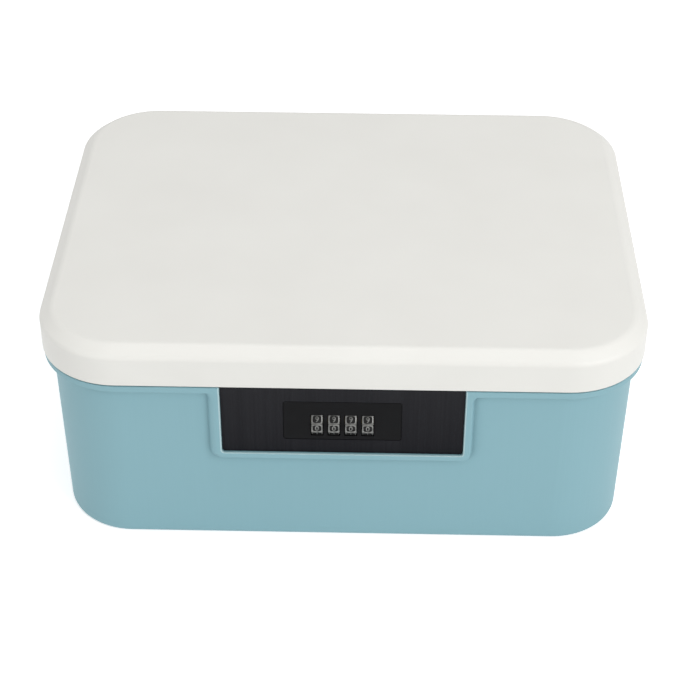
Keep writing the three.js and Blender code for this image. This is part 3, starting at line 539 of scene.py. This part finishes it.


# Lock panel: a black ABS plate with four posts behind it, which the case screws pull against the wall.
# Its face has fine upright brush lines of uneven width, and painted light makes it a little paler toward its
# top.
def panel_looks(place):
    fine = place.stretched(1, 1, 0.008).noise(900, 2, 0.6)
    broad = place.stretched(1, 1, 0.01).noise(260, 1)
    grain = place.noise(3000, 2)
    lines = (fine * 0.55 + broad * 0.45).ramp(0.38, 0.62)
    height_for_painted_light = place.node("ShaderNodeSeparateXYZ", None, {0: place}, 2)
    # Painted light: the base colour grows paler with height up the panel.
    height = height_for_painted_light.ramp(panel_foot * MM, panel_top * MM)
    return {
        "Base Color": (lines * 0.36 + height * 0.64).colour((0.003, 0.003, 0.0054), (0.017, 0.017, 0.02)),
        "Roughness": 0.42 + lines * 0.14,
        "Normal": grain.bump(0.08, 0.0001, lines.bump(0.35, 0.00025)),
    }


brushed_black = finish("brushed_black_abs", {"Specular IOR Level": 0.1}, panel_looks)
dress("lock_panel", brushed_black, 0.25)


# Lock insert: a thin smooth black plate, snapped into the panel's recess, with one window per wheel.
# The narrow bars between its windows hide the gaps between the wheels.
def smooth_black_looks(place):
    grain = place.noise(3400, 2)
    cloud = place.noise(120, 2)
    return {
        "Base Color": cloud.colour((0.006, 0.006, 0.0068), (0.009, 0.009, 0.0098)),
        "Roughness": 0.36 + cloud * 0.1,
        "Normal": grain.bump(0.06, 0.0001),
    }


smooth_black = finish("smooth_black_abs", {"Specular IOR Level": 0.06}, smooth_black_looks)
dress("lock_insert", smooth_black, 0.12)


# Lock case: a black nylon moulding behind the wall. Its cheeks carry the spindle,
# its ears take the case screws, and the detent comb stands on its floor.
def nylon_looks(place):
    grain = place.noise(1900, 3, 0.6)
    cloud = place.noise(60, 2)
    return {
        "Base Color": cloud.colour((0.018, 0.018, 0.02), (0.026, 0.026, 0.028)),
        "Roughness": 0.5 + grain * 0.16,
        "Normal": grain.bump(0.28, 0.00015),
    }


inner_black = finish("black_nylon", {"Specular IOR Level": 0.35}, nylon_looks)
dress("lock_case", inner_black, 0.25)


# Detent comb: one leaf of hardened spring steel, blued by its heat treatment, screwed to the case floor.
# A finger rises under each wheel and drops into the flat between two corners.
def spring_looks(place):
    rolled = place.stretched(0.02, 1, 1).noise(1800, 3, 0.6)
    heat = place.noise(140, 2)
    return {
        "Base Color": heat.ramp(0.35, 0.65).colour((0.2, 0.21, 0.26), (0.34, 0.32, 0.3)),
        "Roughness": 0.24 + rolled * 0.2,
        "Normal": rolled.bump(0.2, 0.00004),
    }


spring_steel = finish("blued_spring_steel", {"Metallic": 1.0}, spring_looks)
dress("detent_spring", spring_steel)


# Spindle: a turned steel rod with four collars. It carries the sleeves, and the code slide moves it.
# The marks of the turning tool run round it.
def turned_looks(base_low, base_high):
    """The looks of a turned metal whose colour lies between two."""
    def looks(place):
        tool = place.stretched(1, 0.03, 0.03).noise(5200, 2, 0.5)
        cloud = place.noise(240, 2)
        return {
            "Base Color": cloud.colour(base_low, base_high),
            "Roughness": 0.22 + tool * 0.2,
            "Normal": tool.bump(0.3, 0.00003),
        }
    return looks


steel_looks = turned_looks((0.46, 0.47, 0.48), (0.6, 0.61, 0.62))
turned_steel = finish("turned_steel", {"Metallic": 1.0}, steel_looks)
dress("lock_spindle", turned_steel)


# Gate sleeves: four turned brass sleeves, browned, one through each wheel, with a lug that the wheel drives
# and a flat on the collar that lets the catch's tooth pass.
brass_looks = turned_looks((0.085, 0.065, 0.035), (0.16, 0.125, 0.07))
sleeve_brass = finish("browned_brass", {"Metallic": 1.0}, brass_looks)
for number in range(1, 5):
    dress(f"gate_sleeve_{number}", sleeve_brass, 0.06)


# Number wheels: four zinc die castings, nickel plated, with ten flats. Each flat has a sunk field
# painted black, and its number stands up from the field, bare and level with the flat. Ten notches
# in the right side take the sleeve's lug.
wheel_width, wheel_pitch, wheel_radius, wheel_depth = 5.7, 8.28, 8, 5.55
wheel_y, wheel_z = panel_face + wheel_depth, 75.4
wheel_middles = [lock_centre + (i - 1.5) * wheel_pitch for i in range(4)]
flat_radius = wheel_radius * math.cos(math.pi / 10)
field_depth, field_half_width, field_half_height, field_corner, field_flare = 0.45, 2.05, 1.7, 1, 0.25
hub_radius, collar_radius, drive_notch_depth, drive_notch_width = 2.45, 4.3, 0.9, 1.2
corner_blunt, grip_depth, number_size, number_root = 0.16, 0.4, 4, 0.1
digits, flat_turn = range(10), 36


def plated_looks(place):
    cast = place.noise(900, 3, 0.6)
    worn = place.noise(420, 2)
    return {
        "Base Color": worn.ramp(0.3, 0.7).colour((0.095, 0.095, 0.091), (0.27, 0.27, 0.262)),
        "Roughness": 0.34 + cast * 0.2,
        "Normal": cast.bump(0.2, 0.00006),
    }


def paint_looks(place):
    grain = place.noise(2400, 2)
    return {
        "Base Color": grain.colour((0.004, 0.004, 0.004), (0.008, 0.008, 0.008)),
        "Roughness": 0.45 + grain * 0.2,
        "Normal": grain.bump(0.1, 0.00005),
    }


plated = finish("plated_zinc", {"Metallic": 1.0}, plated_looks)
field_paint = finish("black_field_paint", {"Specular IOR Level": 0.25}, paint_looks)


def wheel_blank():
    """The blank about the X axis: ten flats with rounded rims and a grip notch at each corner."""
    right_rim = [(2.3, 0), (2.62, 0.14), (2.8, 0.4), (2.85, 0.75)]
    left_rim = [(-x, shrink) for x, shrink in reversed(right_rim)]
    corner_parts = [(-0.12, 0), (-0.075, 0), (-0.015, grip_depth), (0.015, grip_depth), (0.075, 0), (0.12, 0)]
    rings = []
    for x, shrink in left_rim + right_rim:
        points = []
        for i in range(10):
            for part, notch in corner_parts:
                angle = (i + 0.5 + part) * math.pi / 5
                flat_reach = (flat_radius - shrink) / math.cos((0.5 - abs(part)) * math.pi / 5)
                radius = min(flat_reach, wheel_radius - shrink - corner_blunt) - notch
                points.append((x, radius * math.cos(angle), radius * math.sin(angle)))
        rings.append(points)
    return lofted("wheel_blank", rings)


def turned(points, degrees):
    """The points turned about the X axis."""
    angle = math.radians(degrees)
    cos, sin = math.cos(angle), math.sin(angle)
    return [(x, y * cos - z * sin, y * sin + z * cos) for x, y, z in points]


def field_tool(degrees):
    """Cutter of one sunk field: a rounded rectangle that opens a little outward."""
    rings = []
    for y, grow in ((-flat_radius + field_depth, 0), (-flat_radius - 1, field_flare)):
        u, v = field_half_width + grow - field_corner, field_half_height + grow - field_corner
        outline = []
        for side, end, start in ((u, v, 0), (-u, v, 90), (-u, -v, 180), (u, -v, 270)):
            outline += arc(side, end, field_corner, start, start + 90, 6)
        rings.append(turned([(x, y, z) for x, z in outline], degrees))
    return lofted("field_tool", rings)


def drive_notch(degrees):
    """Cutter of one of the ten notches in the wheel's right side. The sleeve's lug stands in one of them."""
    half = drive_notch_width / 2
    corners = [(-collar_radius, -half), (-hub_radius, -half), (-hub_radius, half), (-collar_radius, half)]
    depths = (wheel_width / 2 - drive_notch_depth, wheel_width / 2 + 1)
    return lofted("drive_notch", [turned([(x, y, z) for y, z in corners], degrees) for x in depths])


def raised_number(text, degrees):
    """One raised number, level with its flat."""
    font = bpy.data.curves.new("number", "FONT")
    font.body = text
    font.size = number_size * MM
    font.align_x = "CENTER"
    font.align_y = "CENTER"
    font.extrude = (field_depth + number_root) / 2 * MM
    font.offset = 0.00003
    font.resolution_u = 4
    made = add_object("number", font)
    mesh = bpy.data.meshes.new_from_object(made.evaluated_get(bpy.context.evaluated_depsgraph_get()))
    bpy.data.objects.remove(made)
    box_low = Vector([min(v.co[i] for v in mesh.vertices) for i in range(3)])
    box_high = Vector([max(v.co[i] for v in mesh.vertices) for i in range(3)])
    mesh.transform(Matrix.Translation(-(box_low + box_high) / 2))
    middle_y = (-flat_radius + (field_depth - number_root) / 2) * MM
    stand = Matrix.Translation((0, middle_y, 0)) @ Matrix.Rotation(math.pi / 2, 4, "X")
    mesh.transform(Matrix.Rotation(math.radians(degrees), 4, "X") @ stand)
    return mesh


blank = wheel_blank()
bore = prism("bore", disc((0, 0), hub_radius + gap, 32), "x", -4, 4)
cutters = [tool(flat_turn * i) for i in digits for tool in (field_tool, drive_notch)]
carve(blank, "DIFFERENCE", [bore, *cutters])
wheel_shape = bmesh.new()
wheel_shape.from_mesh(blank.data)
painted_reach, painted_half_height, bare_depth, painted_radius = 2.25, 2.05, 0.06, 6
for face in wheel_shape.faces:
    middle = face.calc_center_median() / MM
    radius = math.hypot(middle.y, middle.z)
    turn = math.degrees(math.atan2(-middle.z, -middle.y))
    off_middle = math.radians((turn + flat_turn / 2) % flat_turn - flat_turn / 2)
    depth = flat_radius - radius * math.cos(off_middle)
    in_field = abs(middle.x) < painted_reach and abs(radius * math.sin(off_middle)) < painted_half_height
    face.material_index = 1 if in_field and depth > bare_depth and radius > painted_radius else 0
for i in digits:
    wheel_shape.from_mesh(raised_number(str(i), flat_turn * i))
wheel_mesh = bpy.data.meshes.new("number_wheel")
wheel_shape.to_mesh(wheel_mesh)
wheel_shape.free()
bpy.data.objects.remove(blank)
for number, middle in enumerate(wheel_middles, 1):
    mesh = wheel_mesh.copy()
    wheel = add_object(f"plated_wheel_{number}", mesh)
    wheel.location = Vector((middle, wheel_y, wheel_z)) * MM
    mesh.materials.append(plated)
    mesh.materials.append(field_paint)
    shade(wheel, 28)
    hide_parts(f"number_wheel_{number}")
    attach(wheel, f"wheel_{number}")


# Code slide: a small smooth black moulded fork on the spindle, with a knob behind the case.
# Pushed to the right, it draws the sleeves out of their wheels so that a new code can be set.
dress("code_slide", smooth_black, 0.2)


# Lock cover: a flat black nylon lid on the back of the case. Its tongues close the spindle seats.
dress("lock_cover", inner_black, 0.25)


# Screws: cross-headed steel screws of four sizes. They hold the case to the panel's posts, the cover
# to the case, the comb to the case floor and the catch to the lid.
def screw_shape(name, shank, head, head_height, length):
    """A screw that stands on its head's underside, with a plain shank and a cross sunk in its round head."""
    profile = [
        (0.02, -length), (shank * 0.55, -length), (shank, -length + shank), (shank, -0.25), (shank + 0.15, 0),
        (head - 0.12, 0), (head, 0.12), (head, head_height * 0.45), (head * 0.93, head_height * 0.7),
        (head * 0.72, head_height * 0.92), (head * 0.4, head_height), (0.02, head_height),
    ]
    turns = [i * math.pi / 16 for i in range(32)]
    made = lofted(name, [[(radius * math.cos(turn), radius * math.sin(turn), z) for turn in turns]
                         for radius, z in profile])
    wide, slim, deep = head * 0.6, head * 0.13, head_height * 0.45
    arms = []
    for reach_x, reach_y in ((wide, slim), (slim, wide)):
        rings = []
        for z, share in ((deep, 0.45), (head_height + 0.5, 1.1)):
            x = reach_x * (share if reach_x > slim else 1)
            y = reach_y * (share if reach_y > slim else 1)
            rings.append([(-x, -y, z), (x, -y, z), (x, y, z), (-x, y, z)])
        arms.append(lofted("cross_arm", rings))
    carve(made, "DIFFERENCE", arms)
    return made


def zinc_looks(place):
    cloud = place.noise(900, 2)
    fine = place.noise(4200, 2)
    return {
        "Base Color": cloud.colour((0.42, 0.43, 0.45), (0.62, 0.62, 0.6)),
        "Roughness": 0.24 + cloud * 0.2,
        "Normal": fine.bump(0.15, 0.00004),
    }


zinc_plate = finish("zinc_plated_steel", {"Metallic": 1.0}, zinc_looks)


def place_screws(kind, turn, spots, **sizes):
    """Copies of one screw. A spot is (node, x, y, z) of the head's underside."""
    pattern = screw_shape(kind, **sizes)
    for order, (node, *spot) in enumerate(spots):
        mesh = pattern.data.copy()
        mesh.transform(Matrix.Rotation(math.radians(25 + 37 * order), 4, "Z"))
        screw = add_object(f"{node}_steel", mesh)
        screw.matrix_world = Matrix.Translation(Vector(spot) * MM) @ turn
        shade(screw)
        wear(screw, zinc_plate, "lid" if "catch" in node else "bin", "bright_steel", node)
    bpy.data.objects.remove(pattern)


face_back = Matrix.Rotation(-math.pi / 2, 4, "X")
face_up = Matrix.Identity(4)
face_down = Matrix.Rotation(math.pi, 4, "X")
catch_setback, catch_thickness, case_back_room = 10.05, 2, 1.9
ear_thickness, cover_thickness, case_wall, pedestal_height, spring_thickness = 2, 2, 2, 1.2, 0.5
cover_screw_spread, cover_screw_heights, spring_root = 26.76, (64.94, 85.96), 2.6
catch_screw_spread, catch_screw_inset, catch_screw_z = 11, 7, 110.5
catch_back = wheel_y + catch_setback + catch_thickness
case_back = catch_back + case_back_room
cover_back = case_back + gap + cover_thickness
ear_back = pad_back + gap + ear_thickness
spring_foot = case_foot + case_wall + pedestal_height + gap
spring_top = spring_foot + spring_thickness
catch_screw_y = catch_back + catch_screw_inset

case_spots = [(f"case_screw_{i}", x, ear_back + gap, z) for i, (x, z) in enumerate(case_screw_spots, 1)]
place_screws("case_screw", face_back, case_spots, shank=1, head=2.2, head_height=1.4, length=5.6)
cover_corners = [(lock_centre + side * cover_screw_spread, z)
                 for side in (-1, 1) for z in cover_screw_heights]
cover_spots = [(f"cover_screw_{i}", x, cover_back + gap, z) for i, (x, z) in enumerate(cover_corners, 1)]
place_screws("cover_screw", face_back, cover_spots, shank=0.9, head=2, head_height=1.3, length=7)
detent_spots = [(f"detent_screw_{side}", lock_centre + x, case_back - gap - spring_root, spring_top + gap)
                for side, x in (("left", -wheel_pitch), ("right", wheel_pitch))]
place_screws("detent_screw", face_up, detent_spots, shank=0.8, head=1.7, head_height=1.1, length=2.4)
catch_spots = [(f"catch_screw_{side}", lock_centre + x, catch_screw_y, catch_screw_z)
               for side, x in (("left", -catch_screw_spread), ("right", catch_screw_spread))]
place_screws("catch_screw", face_down, catch_spots, shank=1.3, head=2.8, head_height=1.6, length=6)


# Lid: one white ABS moulding with a wide soft chamfer, a deep skirt over the bin's upstand,
# two hinge lugs with a stop heel, and two bosses inside for the catch.
inner = inset(lid_outline, lid_wall)
ceiling = lid_top - lid_wall
top_run, outer_ease, inner_ease = 8, 1.9, 2
lug_head, lug_root, lug_foot, lug_clearance = 8.4, 1.5, 0.5, 1.2 * gap
boss_radius, pilot_radius, pilot_depth, pilot_start, flange_top = 4, 1.6, 4, 110, 112.8
lid_swing, heel_spread, heel_reach = 100, math.degrees(0.5), 0.5
lid_profile = [
    ((*inset(inner, chamfer_run + top_run), ceiling), 0),
    ((*inset(inner, chamfer_run), ceiling), inner_ease),
    ((*inner, ceiling - chamfer_drop), inner_ease),
    ((*inner, skirt_foot), 0.35),
    ((*lid_outline, skirt_foot), 0.6),
    ((*lid_outline, lid_top - chamfer_drop), outer_ease),
    ((*inset(lid_outline, chamfer_run), lid_top), outer_ease),
    ((*inset(lid_outline, chamfer_run + top_run), lid_top), 0),
]
lid = lofted("white_lid", [ring(*level) for level in eased(lid_profile)])


def lid_lug_outline():
    """A lid lug from the side: rooted in the skirt, clear of the band, and round about the pin."""
    inside = lid_depth / 2 - lid_wall / 2
    return [
        (inside, skirt_foot + lug_head),
        (inside, skirt_foot + lug_root),
        (band[1] + lug_clearance, skirt_foot + lug_foot),
        (hinge_y - knuckle_radius, hinge_z),
        *arc(hinge_y, hinge_z, knuckle_radius, 180, 405, 24)[1:],
    ]


def heel_outline():
    """The stop heel: a wedge that meets the foot of the bin's band when the lid is full open."""
    corner = Vector((-(hinge_y - band[1]) - heel_reach, band_foot - hinge_z - heel_reach))
    points = [Vector((0, 0))]
    for degrees in (lid_swing, lid_swing + heel_spread):
        turn = Matrix.Rotation(math.radians(degrees), 2)
        points.append(turn @ corner)
    return [(hinge_y + p.x, hinge_z + p.y) for p in points]


lid_pieces = []
for middle in (-hinge_middle, hinge_middle):
    ends = (middle - lid_lug_width / 2, middle + lid_lug_width / 2)
    lid_pieces.append(prism("lid_lug", lid_lug_outline(), "x", *ends, 0.4))
    lid_pieces.append(prism("lid_heel", heel_outline(), "x", *ends, 0.2))
boss_middles = [(lock_centre + x, catch_screw_y) for x in (-catch_screw_spread, catch_screw_spread)]
for boss_middle in boss_middles:
    outline = disc(boss_middle, boss_radius, 40)
    lid_pieces.append(prism("boss", outline, "z", flange_top + gap, lid_top - lid_wall / 2))
carve(lid, "UNION", lid_pieces)
pilots = [prism("pilot", disc(boss_middle, pilot_radius, 24), "z", pilot_start, flange_top + pilot_depth)
          for boss_middle in boss_middles]
carve(lid, "DIFFERENCE", [*pilots, *pin_bores()])
shade(lid)


def white_looks(place):
    grain = place.noise(2400, 2)
    wave = place.noise(26, 2)
    speck = place.noise(700, 2)
    return {
        "Base Color": wave.ramp(0.3, 0.7).colour((0.79, 0.783, 0.745), (0.808, 0.802, 0.764)),
        "Roughness": 0.4 + speck * 0.1,
        "Normal": grain.bump(0.06, 0.0001, wave.bump(0.06, 0.0006)),
    }


white = finish("white_abs", {"IOR": 1.5}, white_looks)
wear(lid, white, "lid", "white_moulding", "lid_shell")


# Lid catch: a pressed steel angle, zinc plated, screwed under the lid. Its four teeth stand in the gaps
# between the wheels and pass the gate flats when the code is right.
def pressed_looks(place):
    rolled = place.stretched(0.03, 1, 1).noise(1500, 3, 0.6)
    spangle = place.node("ShaderNodeTexVoronoi", {"feature": "SMOOTH_F1"}, {"Vector": place, "Scale": 620.0})
    return {
        "Base Color": spangle.ramp(0.1, 0.7).colour((0.32, 0.325, 0.34), (0.385, 0.385, 0.395)),
        "Roughness": 0.42 + rolled * 0.2,
        "Normal": rolled.bump(0.2, 0.00005),
    }


catch_steel = finish("pressed_zinc_steel", {"Metallic": 1.0}, pressed_looks)
dress("lid_catch", catch_steel, 0.12)


# Floor and light: a wide white floor that runs out of view, an even white surround, and three large
# soft lamps, the strongest to the front right, with weaker ones to the front left and overhead.
floor_mesh = bpy.data.meshes.new("floor")
floor_shape = bmesh.new()
bmesh.ops.create_grid(floor_shape, x_segments=8, y_segments=8, size=6)
floor_shape.to_mesh(floor_mesh)
floor_shape.free()
floor = add_object("floor", floor_mesh)
floor.location.z = -0.0002


def seen_directly(tree):
    """More than 0 for rays from the camera and for mirrored and transmitted ones, and 0 for lighting rays."""
    path = tree.nodes.new("ShaderNodeLightPath")
    camera_ray, glossy_ray, passed_ray = (
        Shade(tree, path.outputs[f"Is {kind} Ray"]) for kind in ("Camera", "Glossy", "Transmission"))
    return camera_ray + glossy_ray + passed_ray


floor_material = bpy.data.materials.new("white_floor")
floor_material.use_nodes = True
floor_tree = floor_material.node_tree
floor_tree.nodes.clear()
floor_output = floor_tree.nodes.new("ShaderNodeOutputMaterial")
seen = seen_directly(floor_tree)
matt = seen.node("ShaderNodeBsdfDiffuse", None, {"Color": (0.86, 0.86, 0.86, 1)})
glow = seen.node("ShaderNodeEmission", None, {"Color": (1, 1, 1, 1), "Strength": seen * 0.55})
both = seen.node("ShaderNodeAddShader", None, {0: matt, 1: glow})
floor_tree.links.new(both.socket, floor_output.inputs["Surface"])
floor_mesh.materials.append(floor_material)

surround = bpy.data.worlds.new("surround")
surround.use_nodes = True
surround_tree = surround.node_tree
background = surround_tree.nodes["Background"]
lighting_strength, seen_extra = 0.56, 0.44
strength = lighting_strength + seen_directly(surround_tree).ramp(0, 1) * seen_extra
surround_tree.links.new(strength.socket, background.inputs["Strength"])
background.inputs["Color"].default_value = (1, 1, 1, 1)
bpy.context.scene.world = surround

lamp_size, lamp_distance, lamp_aim = 0.8, 1.9, Vector((0, 0, 0.08))
lamps = (
    ("right_lamp", (0.6, -0.6, 0.5), 11.6),
    ("left_lamp", (-0.62, -0.75, 0.2), 4.1),
    ("top_lamp", (0.05, -0.1, 0.99), 7.9),
)
for name, way, power in lamps:
    lamp_data = bpy.data.lights.new(name, "AREA")
    lamp_data.shape = "SQUARE"
    lamp_data.size = lamp_size
    lamp_data.energy = power
    lamp = add_object(name, lamp_data)
    lamp_way = Vector(way).normalized()
    lamp.location = lamp_aim + lamp_way * lamp_distance
    lamp.rotation_mode = "QUATERNION"
    lamp.rotation_quaternion = (-lamp_way).to_track_quat("-Z", "Y")
bpy.context.scene.view_settings.view_transform = "Standard"
